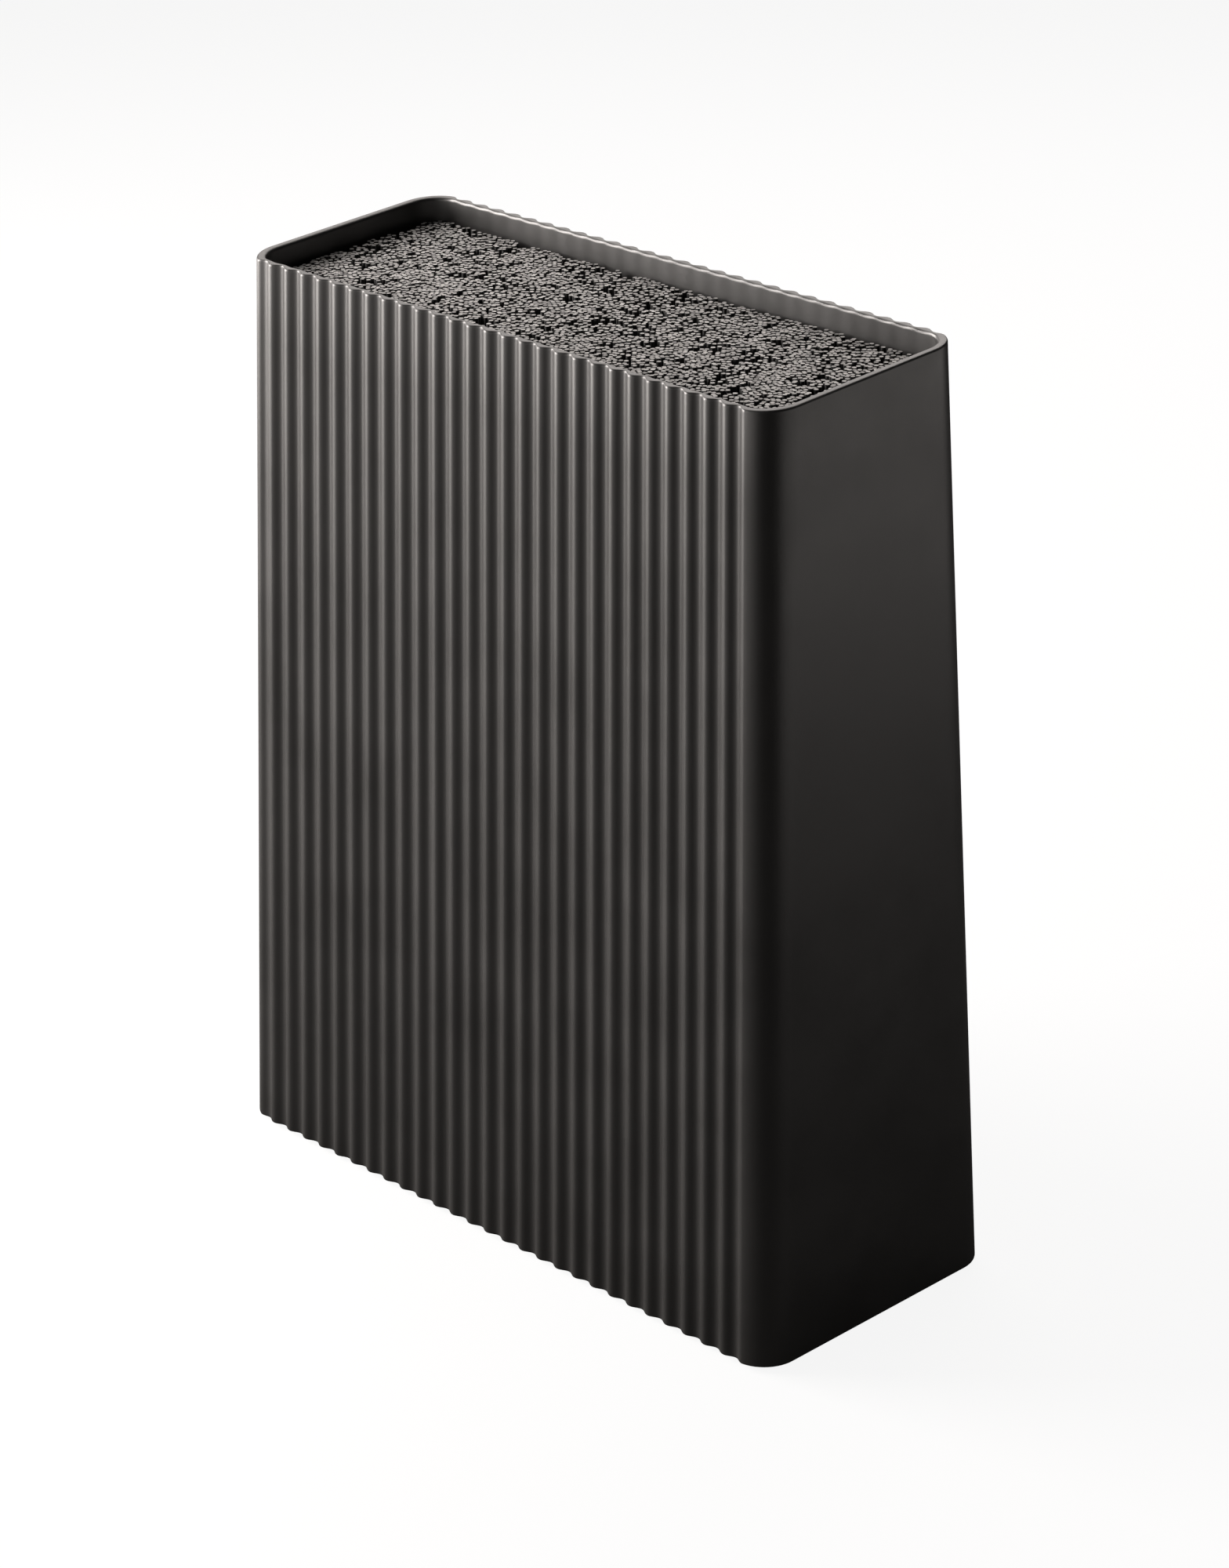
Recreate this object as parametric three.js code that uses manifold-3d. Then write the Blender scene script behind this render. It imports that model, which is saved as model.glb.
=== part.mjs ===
// Slim universal knife block: a fluted casing, a screwed-on base with rubber feet, and a lift-out insert of
// upright bristle rods standing in a tray. Knives go down between the rods from above.
// Millimetres, +Z up. The origin is at the middle of the footprint, on the surface that the feet stand on.
// X runs along the block, Y from the front fluted face (-Y) to the back one (+Y).

import * as THREE from 'three';
import { mergeVertices } from 'three/addons/utils/BufferGeometryUtils.js';
import Module from 'manifold-3d';

const wasm = await Module();
wasm.setup();

// ---- driving dimensions ------------------------------------------------------------------------------

// Casing
const height = 220;            // rim at mid depth, above the table
const baseLength = 178.5;      // along X at the bottom
const topLength = 165.7;       // along X at the rim
const baseDepth = 74.8;        // along Y at the bottom
const topDepth = 59.2;         // along Y at the rim
const rimRise = 0.05;          // the rim climbs this much for each millimetre towards the back
const cornerRadius = 9;
const wall = 2.2;
const fluteCount = 28;
const fluteOverrun = 2.87;     // the outermost flutes run this far on into the round corners
const fluteShift = 1.1;        // each face's flutes sit this far to the left of its middle, seen from outside
const fluteDepth = 1.2;

// Base plate and feet
const footProud = 1;           // the feet lift the casing this far
const plateRecess = 0.5;       // the plate's underside sits this far inside the casing's bottom edge
const plateThickness = 3.5;
const plateClearance = 0.4;
const footRadius = 6;
const footThickness = 2;
const footInsetX = 24;         // foot centre from the end of the casing
const footInsetY = 17;         // foot centre from the front or back of the casing
const drainRadius = 1.75;
const drainRows = 2;
const drainColumns = 5;
const drainSpacingX = 22;
const drainSpacingY = 16;

// Screws and their bosses
const screwRadius = 1.5;
const screwLength = 12;        // shank below the head
const screwHeadRadius = 2.9;
const screwHeadHeight = 1.8;
const screwHeadSink = 0.4;     // the head lies this far above the plate's underside
const driveWidth = 0.8;
const driveLength = 3.4;
const driveDepth = 1;
const bossRadius = 3.6;
const bossHeight = 16;
const screwToWall = 3.2;       // screw axis to the casing's inner corner, at the bottom

// Guide ribs inside the casing
const guideRibWidth = 1.6;
const guideRibSpacing = 46;
const guideRibCount = 3;
const guideRibLift = 6;        // rib's lower end above the base plate
const guideRibTopDepth = 0.8;  // a rib stops where the taper leaves it this deep

// Lift-out insert
const insertClearance = 0.4;   // all round, between the insert and the casing's mouth
const seatGap = 0.3;           // running gap under a piece that rests on another
const trayWall = 1.6;
const trayFloor = 2;
const trayHeight = 16;
const locatorHeight = 3;
const locatorWidth = 1.5;
const rootThickness = 4;
const rootClearance = 0.3;
const bristleDrop = 5.3;       // rod ends below the rim
const rowCount = 6;
const slotWidth = 4.7;         // room for a blade between two rows of rods

// Roundness
const cornerSteps = 8;
const fluteSteps = 10;
const circleSteps = 24;

// ---- sizes worked out from them ----------------------------------------------------------------------

const casingBottom = footProud;
const casingHeight = height - casingBottom;
const plateBottom = casingBottom + plateRecess;
const plateTop = plateBottom + plateThickness;
const lengthTaper = topLength / baseLength;
const leanY = (baseDepth - topDepth) / 2;
const straightY = baseDepth / 2 - cornerRadius;
const fluteReach = baseLength / 2 - cornerRadius + fluteOverrun;
const flutePitch = (2 * fluteReach) / fluteCount;   // at the bottom; the flutes close up with the taper
const innerRadius = cornerRadius - wall;

// Each screw stands on the diagonal of a corner, tied to the corner's inner wall.
const screwInset = cornerRadius - (innerRadius - screwToWall) * Math.SQRT1_2;

// The casing's inner size at the rim, where the insert has least room.
const mouthLength = (baseLength - 2 * wall) * lengthTaper;
const mouthDepth = topDepth - 2 * wall;
const insertLength = mouthLength - 2 * insertClearance;
const insertDepth = mouthDepth - 2 * insertClearance;
const insertRadius = innerRadius - insertClearance;
const trayBottom = plateTop + seatGap;
const trayFloorTop = trayBottom + trayFloor;
const rootBottom = trayFloorTop + seatGap;
const rootTop = rootBottom + rootThickness;
const rodsBottom = rootTop + seatGap;
const rodsTop = height - bristleDrop;
const rootLength = insertLength - 2 * (trayWall + rootClearance);
const rootDepth = insertDepth - 2 * (trayWall + rootClearance);
const rootRadius = insertRadius - trayWall - rootClearance;
const rowPitch = (rootDepth + slotWidth) / rowCount;
const rowWidth = rowPitch - slotWidth;

// ---- helpers -----------------------------------------------------------------------------------------

function toSolid(geometry) {
  const bare = geometry.clone();
  bare.deleteAttribute('normal');
  bare.deleteAttribute('uv');
  const merged = mergeVertices(bare, 1e-5);
  return new wasm.Manifold(new wasm.Mesh({
    numProp: 3,
    vertProperties: new Float32Array(merged.attributes.position.array),
    triVerts: new Uint32Array(merged.index.array),
  }));
}

function toGeometry(solid) {
  const mesh = solid.getMesh();
  const geometry = new THREE.BufferGeometry();
  geometry.setAttribute('position', new THREE.BufferAttribute(mesh.vertProperties, mesh.numProp));
  geometry.setIndex(new THREE.BufferAttribute(mesh.triVerts, 1));
  geometry.computeVertexNormals();
  return geometry;
}

// A rectangle with round corners, as points, centred on the origin.
function roundedOutline(length, depth, radius) {
  const corners = [[1, 1, 0], [-1, 1, 0.5], [-1, -1, 1], [1, -1, 1.5]];
  const points = [];
  for (const [sideX, sideY, startAngle] of corners) {
    for (let step = 0; step <= cornerSteps; step++) {
      const angle = Math.PI * (startAngle + step / cornerSteps / 2);
      const x = sideX * (length / 2 - radius) + radius * Math.cos(angle);
      const y = sideY * (depth / 2 - radius) + radius * Math.sin(angle);
      points.push(new THREE.Vector2(x, y));
    }
  }
  return points;
}

// The depth of the flutes at a distance from the middle of their row. The row starts and ends on a crest.
function fluteInset(fromMiddle) {
  const turns = fromMiddle / flutePitch + fluteCount / 2;
  return (fluteDepth * (1 - Math.cos(2 * Math.PI * turns))) / 2;
}

// Half the casing's depth at a distance x from its middle, before the flutes are cut.
function plainHalfDepth(x) {
  const pastStraight = Math.max(0, Math.abs(x) - (baseLength / 2 - cornerRadius));
  return straightY + Math.sqrt(cornerRadius ** 2 - pastStraight ** 2);
}

// The casing's outer outline at the bottom: plain ends and corners joined by fluted faces. One long face is
// the other one turned half round.
function flutedOutline() {
  const points = [];
  const steps = fluteCount * fluteSteps;
  const middle = fluteShift;
  const plain = roundedOutline(baseLength, baseDepth, cornerRadius);
  const half = plain.length / 2;
  for (const side of [1, -1]) {
    const corners = side > 0 ? plain.slice(0, half) : plain.slice(half);
    const before = corners.filter(({ x }) => side * x > middle + fluteReach);
    const after = corners.filter(({ x }) => side * x < middle - fluteReach);
    points.push(...before);
    for (let step = 0; step <= steps; step++) {
      const fromMiddle = fluteReach * (1 - (2 * step) / steps);
      const x = middle + fromMiddle;
      points.push(new THREE.Vector2(side * x, side * (plainHalfDepth(x) - fluteInset(fromMiddle))));
    }
    points.push(...after);
  }
  return points;
}

function extrude(points, depth, holes = []) {
  const shape = new THREE.Shape(points);
  for (const hole of holes) shape.holes.push(new THREE.Path(hole));
  return new THREE.ExtrudeGeometry(shape, { depth, bevelEnabled: false });
}

// Leans an upright extrusion of the casing inwards as it rises, and slopes its top with the rim.
// Along X everything closes up in proportion, flutes included. Along Y only the straight of the ends
// shortens, so the corners and the flutes keep their depth.
function leanWithCasing(geometry, bottom) {
  const position = geometry.attributes.position;
  for (let i = 0; i < position.count; i++) {
    const x = position.getX(i);
    const y = position.getY(i);
    const rise = (position.getZ(i) + bottom - casingBottom) / casingHeight;
    const leanedX = x * (1 - (1 - lengthTaper) * rise);
    const leanedY = y - THREE.MathUtils.clamp(y / straightY, -1, 1) * leanY * rise;
    position.setXYZ(i, leanedX, leanedY, position.getZ(i) + bottom + rimRise * leanedY * rise);
  }
  return geometry;
}

function cylinder(radius, bottom, top, x, y) {
  const geometry = new THREE.CylinderGeometry(radius, radius, top - bottom, circleSteps);
  geometry.rotateX(Math.PI / 2);
  geometry.translate(x, y, (bottom + top) / 2);
  return geometry;
}

function box(lowX, highX, lowY, highY, lowZ, highZ) {
  const geometry = new THREE.BoxGeometry(highX - lowX, highY - lowY, highZ - lowZ);
  geometry.translate((lowX + highX) / 2, (lowY + highY) / 2, (lowZ + highZ) / 2);
  return geometry;
}

function cornerPlaces(insetX, insetY) {
  const places = [];
  for (const sideY of [-1, 1]) {
    for (const sideX of [-1, 1]) {
      places.push([sideX * (baseLength / 2 - insetX), sideY * (baseDepth / 2 - insetY)]);
    }
  }
  return places;
}

function drainPlaces() {
  const places = [];
  for (let row = 0; row < drainRows; row++) {
    for (let column = 0; column < drainColumns; column++) {
      const x = (column - (drainColumns - 1) / 2) * drainSpacingX;
      places.push([x, (row - (drainRows - 1) / 2) * drainSpacingY]);
    }
  }
  return places;
}

const screwPlaces = cornerPlaces(screwInset, screwInset);
const footPlaces = cornerPlaces(footInsetX, footInsetY);

// ---- casing ------------------------------------------------------------------------------------------

// The casing's walls: fluted outside and plain inside, open at both ends.
function casingWalls() {
  const inside = roundedOutline(baseLength - 2 * wall, baseDepth - 2 * wall, innerRadius);
  return toSolid(leanWithCasing(extrude(flutedOutline(), casingHeight, [inside]), casingBottom));
}

// Upright ribs that keep the insert central: each fills the taper between the insert's path and the wall.
function guideRibs() {
  const ribBottom = plateTop + guideRibLift;
  const ribs = [];
  const faces = [
    { mouth: mouthDepth / 2, foot: baseDepth / 2 - wall, turn: 0, count: guideRibCount },
    { mouth: mouthLength / 2, foot: baseLength / 2 - wall, turn: Math.PI / 2, count: 1 },
  ];
  for (const { mouth, foot, turn, count } of faces) {
    const wallAt = (z) => mouth + ((foot - mouth) * (height - z)) / casingHeight;
    const ribTop = height - (guideRibTopDepth * casingHeight) / (foot - mouth);
    const root = wall / 3;
    const side = [
      new THREE.Vector2(mouth, ribBottom),
      new THREE.Vector2(wallAt(ribBottom) + root, ribBottom),
      new THREE.Vector2(wallAt(ribTop) + root, ribTop),
      new THREE.Vector2(mouth, ribTop),
    ];
    for (let index = 0; index < count; index++) {
      for (const flip of [0, Math.PI]) {
        const rib = extrude(side, guideRibWidth);
        rib.rotateX(Math.PI / 2);
        rib.rotateZ(Math.PI / 2);
        rib.translate((index - (count - 1) / 2) * guideRibSpacing - guideRibWidth / 2, 0, 0);
        rib.rotateZ(turn + flip);
        ribs.push(toSolid(rib));
      }
    }
  }
  return ribs;
}

function outerShell() {
  const outside = toSolid(leanWithCasing(extrude(flutedOutline(), casingHeight), casingBottom));
  let shell = casingWalls();
  for (const rib of guideRibs()) shell = shell.add(rib);
  for (const [x, y] of screwPlaces) {
    const boss = toSolid(cylinder(bossRadius, plateTop + seatGap, plateTop + seatGap + bossHeight, x, y));
    shell = shell.add(boss.intersect(outside));
  }
  for (const [x, y] of screwPlaces) {
    const pilotTop = screwHeadBottom() + screwHeadHeight + screwLength + seatGap;
    shell = shell.subtract(toSolid(cylinder(screwRadius + seatGap, plateBottom, pilotTop, x, y)));
  }
  return toGeometry(shell);
}

// ---- base --------------------------------------------------------------------------------------------

function screwHeadBottom() {
  return plateBottom + screwHeadSink;
}

function basePlate() {
  const length = baseLength - 2 * (wall + plateClearance);
  const depth = baseDepth - 2 * (wall + plateClearance);
  const plate = extrude(roundedOutline(length, depth, innerRadius - plateClearance), plateThickness);
  plate.translate(0, 0, plateBottom);
  const locatorInner = roundedOutline(insertLength + 2 * insertClearance,
    insertDepth + 2 * insertClearance, insertRadius + insertClearance);
  const locatorOuter = roundedOutline(insertLength + 2 * (insertClearance + locatorWidth),
    insertDepth + 2 * (insertClearance + locatorWidth), insertRadius + insertClearance + locatorWidth);
  const locator = extrude(locatorOuter, plateThickness + locatorHeight, [locatorInner]);
  locator.translate(0, 0, plateBottom);
  let solid = toSolid(plate).add(toSolid(locator));
  for (const [x, y] of screwPlaces) {
    solid = solid.subtract(toSolid(cylinder(screwRadius + seatGap, casingBottom, height, x, y)));
    const sinkTop = screwHeadBottom() + screwHeadHeight + seatGap;
    solid = solid.subtract(toSolid(cylinder(screwHeadRadius + seatGap, casingBottom, sinkTop, x, y)));
  }
  for (const [x, y] of footPlaces) {
    solid = solid.subtract(toSolid(cylinder(footRadius + seatGap, 0, footThickness + seatGap, x, y)));
  }
  for (const [x, y] of drainPlaces()) {
    solid = solid.subtract(toSolid(cylinder(drainRadius, 0, plateTop + locatorHeight, x, y)));
  }
  return toGeometry(solid);
}

// A pan-head screw, point up, with a cross recess in its head.
function baseScrew(x, y) {
  const headTop = screwHeadBottom() + screwHeadHeight;
  const pointHeight = 2 * screwRadius;
  const profile = [
    new THREE.Vector2(0, screwHeadBottom()),
    new THREE.Vector2(screwHeadRadius * 0.8, screwHeadBottom()),
    new THREE.Vector2(screwHeadRadius, screwHeadBottom() + screwHeadHeight / 3),
    new THREE.Vector2(screwHeadRadius, headTop),
    new THREE.Vector2(screwRadius, headTop),
    new THREE.Vector2(screwRadius, headTop + screwLength - pointHeight),
    new THREE.Vector2(0, headTop + screwLength),
  ];
  const turned = new THREE.LatheGeometry(profile, circleSteps);
  turned.rotateX(Math.PI / 2);
  turned.scale(1, -1, 1);
  const index = turned.index.array;
  for (let i = 0; i < index.length; i += 3) [index[i], index[i + 1]] = [index[i + 1], index[i]];
  let screw = toSolid(turned);
  for (const [width, length] of [[driveWidth, driveLength], [driveLength, driveWidth]]) {
    const slot = box(-width / 2, width / 2, -length / 2, length / 2,
      screwHeadBottom() - driveDepth, screwHeadBottom() + driveDepth);
    screw = screw.subtract(toSolid(slot));
  }
  const geometry = toGeometry(screw);
  geometry.translate(x, y, 0);
  return geometry;
}

function rubberFoot(x, y) {
  const edge = footProud / 3;
  const profile = [
    new THREE.Vector2(0, 0),
    new THREE.Vector2(footRadius - edge, 0),
    new THREE.Vector2(footRadius, edge),
    new THREE.Vector2(footRadius, footThickness),
    new THREE.Vector2(0, footThickness),
  ];
  const foot = new THREE.LatheGeometry(profile, circleSteps);
  foot.rotateX(Math.PI / 2);
  foot.translate(x, y, 0);
  return foot;
}

// ---- lift-out insert ---------------------------------------------------------------------------------

function bristleTray() {
  const outside = extrude(roundedOutline(insertLength, insertDepth, insertRadius), trayHeight);
  outside.translate(0, 0, trayBottom);
  const hollow = extrude(roundedOutline(insertLength - 2 * trayWall, insertDepth - 2 * trayWall,
    insertRadius - trayWall), trayHeight);
  hollow.translate(0, 0, trayFloorTop);
  let tray = toSolid(outside).subtract(toSolid(hollow));
  for (const [x, y] of drainPlaces()) {
    tray = tray.subtract(toSolid(cylinder(drainRadius, 0, trayFloorTop + seatGap, x, y)));
  }
  return toGeometry(tray);
}

// The slab where the lower ends of all the rods are melted together.
function rodRootMat() {
  const mat = extrude(roundedOutline(rootLength, rootDepth, rootRadius), rootThickness);
  mat.translate(0, 0, rootBottom);
  return toGeometry(toSolid(mat));
}

// All the rods as one body. It spreads from the tray to fill the casing's mouth, and its top slopes
// with the rim.
function rodBundle() {
  const bundleHeight = rodsTop - rodsBottom;
  const bundle = extrude(roundedOutline(rootLength, rootDepth, insertRadius), bundleHeight);
  const spread = (insertLength - rootLength) / 2;
  const position = bundle.attributes.position;
  for (let i = 0; i < position.count; i++) {
    const rise = position.getZ(i) / bundleHeight;
    const x = position.getX(i) * (1 + (2 * spread * rise) / rootLength);
    const y = position.getY(i) * (1 + (2 * spread * rise) / rootDepth);
    position.setXYZ(i, x, y, position.getZ(i) + rodsBottom + rimRise * y * rise);
  }
  return toSolid(bundle);
}

// One long row of rods. The outermost rows take the bundle's outer faces.
function bristleRow(bundle, index) {
  const middle = (index - (rowCount - 1) / 2) * rowPitch;
  const low = index === 0 ? -baseDepth : middle - rowWidth / 2;
  const high = index === rowCount - 1 ? baseDepth : middle + rowWidth / 2;
  const strip = box(-baseLength, baseLength, low, high, 0, 2 * height);
  return toGeometry(bundle.intersect(toSolid(strip)));
}

// ---- assembly ----------------------------------------------------------------------------------------

const charcoalPlastic = { color: 0x45433f, roughness: 0.62, metalness: 0 };
const blackPlastic = { color: 0x26262a, roughness: 0.6, metalness: 0 };
const rubber = { color: 0x1c1c1c, roughness: 0.9, metalness: 0 };
const zincSteel = { color: 0xb9bcc0, roughness: 0.35, metalness: 1 };
const greyRods = { color: 0x9d9a94, roughness: 0.5, metalness: 0 };

const knifeBlock = new THREE.Group();

function addPart(name, geometry, look) {
  const mesh = new THREE.Mesh(geometry, new THREE.MeshStandardMaterial(look));
  mesh.name = name;
  knifeBlock.add(mesh);
}

addPart('outer_shell', outerShell(), charcoalPlastic);
addPart('base_plate', basePlate(), blackPlastic);
screwPlaces.forEach(([x, y], index) => addPart(`base_screw_${index + 1}`, baseScrew(x, y), zincSteel));
footPlaces.forEach(([x, y], index) => addPart(`rubber_foot_${index + 1}`, rubberFoot(x, y), rubber));
addPart('bristle_tray', bristleTray(), blackPlastic);
addPart('rod_root_mat', rodRootMat(), greyRods);
const bundle = rodBundle();
for (let index = 0; index < rowCount; index++) {
  addPart(`bristle_row_${index + 1}`, bristleRow(bundle, index), greyRods);
}

export default knifeBlock;
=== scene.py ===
import math

import bmesh
import bpy
import numpy as np
from mathutils import Matrix, Vector
from mathutils.kdtree import KDTree


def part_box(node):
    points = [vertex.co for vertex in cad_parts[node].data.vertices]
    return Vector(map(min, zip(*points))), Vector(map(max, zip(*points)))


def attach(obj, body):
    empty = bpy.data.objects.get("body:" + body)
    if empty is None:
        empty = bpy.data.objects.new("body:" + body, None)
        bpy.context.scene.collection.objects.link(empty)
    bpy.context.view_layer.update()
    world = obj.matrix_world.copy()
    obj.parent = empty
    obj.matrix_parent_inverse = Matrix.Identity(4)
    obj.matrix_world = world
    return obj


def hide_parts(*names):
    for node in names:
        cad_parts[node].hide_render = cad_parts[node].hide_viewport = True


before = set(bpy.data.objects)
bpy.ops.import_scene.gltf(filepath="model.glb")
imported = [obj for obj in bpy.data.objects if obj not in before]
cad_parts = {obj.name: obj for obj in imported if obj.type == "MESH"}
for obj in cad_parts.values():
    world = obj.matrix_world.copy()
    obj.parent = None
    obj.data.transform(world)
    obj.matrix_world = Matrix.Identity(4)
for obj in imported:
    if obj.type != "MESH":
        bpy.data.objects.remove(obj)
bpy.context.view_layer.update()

MM = 0.001


# ---- Casing ----------------------------------------------------------------------------------------
# One injection moulding in charcoal plastic, open at the top and bottom. It narrows as it rises, its two
# long faces are fluted, its ends are plain, and every edge has a small moulded round.

shell_low, shell_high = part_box("outer_shell")
base_length = shell_high.x - shell_low.x
base_depth = shell_high.y - shell_low.y
casing_bottom = shell_low.z
rim_height = 220 * MM
casing_height = rim_height - casing_bottom
length_taper = 165.7 / 178.5
depth_lean = (base_depth - 59.2 * MM) / 2
rim_rise = 0.05
corner_radius = 9 * MM
wall = 2.2 * MM
flute_count = 28
flute_depth = 1.2 * MM
flute_overrun = 2.87 * MM
flute_shift = 1.1 * MM
straight_length = base_length / 2 - corner_radius
straight_depth = base_depth / 2 - corner_radius
flute_reach = straight_length + flute_overrun
flute_pitch = 2 * flute_reach / flute_count


def lean_with_casing(x, y, z):
    """Where a point of an upright block at height z above the casing's bottom edge lies in the tapered one."""
    rise = z / casing_height
    leaned_x = x * (1 - (1 - length_taper) * rise)
    leaned_y = y - max(-1, min(1, y / straight_depth)) * depth_lean * rise
    return leaned_x, leaned_y, z + casing_bottom + rim_rise * leaned_y * rise


def column_on_face(side, from_middle):
    """An upright line on a long face, or on the stretch of corner that the outermost flutes run into."""
    x = flute_shift + from_middle
    past_straight = max(0, abs(x) - straight_length)
    centre_x = math.copysign(min(abs(x), straight_length), x)
    facing_x = math.copysign(past_straight / corner_radius, x)
    facing_y = math.sqrt(1 - facing_x ** 2)
    return side * centre_x, side * straight_depth, side * facing_x, side * facing_y, side, from_middle


def columns_on_corner(side, end, first_turn, last_turn, steps=12):
    """Upright lines round the plain part of a corner."""
    turns = np.linspace(first_turn, last_turn, steps + 1)
    x, y = side * end * straight_length, side * straight_depth
    return [(x, y, side * math.cos(turn), side * math.sin(turn), 0, 0) for turn in turns]


def casing_columns(steps_per_flute=16, end_steps=6):
    """Upright lines round the casing: the middle of the corner that each bends round, which way it faces, which
    long face it is on (0 on the ends and corners), and how far along the row of flutes it is."""
    columns = []
    start_turn = math.acos((flute_reach + flute_shift - straight_length) / corner_radius)
    end_turn = math.acos(-(flute_reach - flute_shift - straight_length) / corner_radius)
    along = np.linspace(flute_reach, -flute_reach, flute_count * steps_per_flute + 1)
    for side in (1, -1):
        columns += columns_on_corner(side, 1, 0, start_turn)[:-1]
        columns += [column_on_face(side, from_middle) for from_middle in along]
        columns += columns_on_corner(side, -1, end_turn, math.pi)[1:]
        for step in range(1, end_steps):
            y = side * straight_depth * (1 - 2 * step / end_steps)
            columns.append((-side * straight_length, y, -side, 0, 0, 0))
    return columns


def quarter_round(centre, radius, start, steps=5):
    """Points of a quarter circle, going round from the start angle."""
    turns = [start + math.pi / 2 * step / steps for step in range(steps + 1)]
    return [(centre[0] + radius * math.cos(t), centre[1] + radius * math.sin(t)) for t in turns]


def wall_section():
    """The wall cut through from outside to inside, as (depth below the outer skin, height)."""
    foot_round, outer_round, inner_round = 0.7 * MM, 0.55 * MM, 0.8 * MM
    top = casing_height
    heights = np.linspace(foot_round, top - outer_round, 13)[1:-1]
    outer_edge = quarter_round((foot_round, foot_round), foot_round, 1.5 * math.pi)
    outer_edge = [(foot_round - (across - foot_round), up) for across, up in outer_edge]
    rim_outer = quarter_round((outer_round, top - outer_round), outer_round, 0.5 * math.pi)[::-1]
    rim_inner = quarter_round((wall - inner_round, top - inner_round), inner_round, 0)[::-1]
    inner_edge = quarter_round((wall - 0.3 * MM, 0.3 * MM), 0.3 * MM, 1.5 * math.pi, steps=2)[::-1]
    return (outer_edge + [(0, up) for up in heights] + rim_outer + rim_inner
            + [(wall, up) for up in heights[::-1]] + inner_edge)


def link(name, mesh):
    piece = bpy.data.objects.new(name, mesh)
    bpy.context.scene.collection.objects.link(piece)
    return piece


def smooth(mesh, angle=35):
    """Rounds the shading over every edge that turns less than the angle."""
    mesh.polygons.foreach_set("use_smooth", [True] * len(mesh.polygons))
    sharp = mesh.attributes.get("sharp_edge") or mesh.attributes.new("sharp_edge", "BOOLEAN", "EDGE")
    shape = bmesh.new()
    shape.from_mesh(mesh)
    limit = math.radians(angle)
    turned = [len(e.link_faces) == 2 and e.calc_face_angle() > limit for e in shape.edges]
    sharp.data.foreach_set("value", turned)
    shape.free()


def plain_casing():
    """The casing without its flutes. Each point keeps how far along its face it is, which long face it
    belongs to, and how near it is to the outer skin."""
    columns, section = casing_columns(), wall_section()
    points, along, face, skin = [], [], [], []
    for centre_x, centre_y, facing_x, facing_y, side, from_middle in columns:
        for depth, up in section:
            out = corner_radius - depth
            x, y = centre_x + facing_x * out, centre_y + facing_y * out
            points.append(lean_with_casing(x, y, up))
            along.append(from_middle)
            face.append(side)
            skin.append(1 - depth / wall)
    count, size = len(columns), len(section)
    quads = []
    for column in range(count):
        for step in range(size):
            here, there = column * size, (column + 1) % count * size
            ahead = (step + 1) % size
            quads.append((here + step, there + step, there + ahead, here + ahead))
    mesh = bpy.data.meshes.new("casing")
    mesh.from_pydata(points, [], quads)
    for name, values in (("along", along), ("face", face), ("skin", skin)):
        mesh.attributes.new(name, "FLOAT", "POINT").data.foreach_set("value", values)
    return link("casing", mesh)


class Tree:
    """A Geometry Nodes tree that is built up node by node."""

    def __init__(self, name, inputs):
        self.tree = bpy.data.node_groups.new(name, "GeometryNodeTree")
        face = self.tree.interface
        face.new_socket("Geometry", in_out="INPUT", socket_type="NodeSocketGeometry")
        face.new_socket("Geometry", in_out="OUTPUT", socket_type="NodeSocketGeometry")
        self.values = inputs
        self.keys = {}
        for label, (kind, _) in inputs.items():
            socket = face.new_socket(label, in_out="INPUT", socket_type="NodeSocket" + kind)
            self.keys[label] = socket.identifier
        self.entry = self.tree.nodes.new("NodeGroupInput")
        self.exit = self.tree.nodes.new("NodeGroupOutput")

    def input(self, label):
        return self.entry.outputs[label]

    def add(self, kind, settings=None, output=0, **inputs):
        """Adds a node, sets its settings, fills its inputs by place or name, and gives one output."""
        node = self.tree.nodes.new(kind)
        for name, value in (settings or {}).items():
            setattr(node, name, value)
        for name, value in inputs.items():
            key = int(name[1:]) if name[1:].isdigit() else name.replace("_", " ")
            socket = node.inputs[key]
            if isinstance(value, bpy.types.NodeSocket):
                self.tree.links.new(value, socket)
            else:
                socket.default_value = value
        return node.outputs[output]

    def maths(self, operation, *values):
        named = {f"i{place}": value for place, value in enumerate(values)}
        return self.add("ShaderNodeMath", {"operation": operation}, **named)

    def attribute(self, name, kind="FLOAT"):
        return self.add("GeometryNodeInputNamedAttribute", {"data_type": kind}, Name=name)

    def finish(self, geometry, material, piece):
        """Ends the tree, runs it on the piece, and leaves the result as a plain mesh."""
        real = self.add("GeometryNodeRealizeInstances", Geometry=geometry)
        painted = self.add("GeometryNodeSetMaterial", Geometry=real, Material=material)
        self.tree.links.new(painted, self.exit.inputs[0])
        modifier = piece.modifiers.new(self.tree.name, "NODES")
        modifier.node_group = self.tree
        for label, (_, value) in self.values.items():
            modifier[self.keys[label]] = value
        graph = bpy.context.evaluated_depsgraph_get()
        made = bpy.data.meshes.new_from_object(piece.evaluated_get(graph))
        piece.modifiers.clear()
        piece.data = made
        return piece


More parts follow.
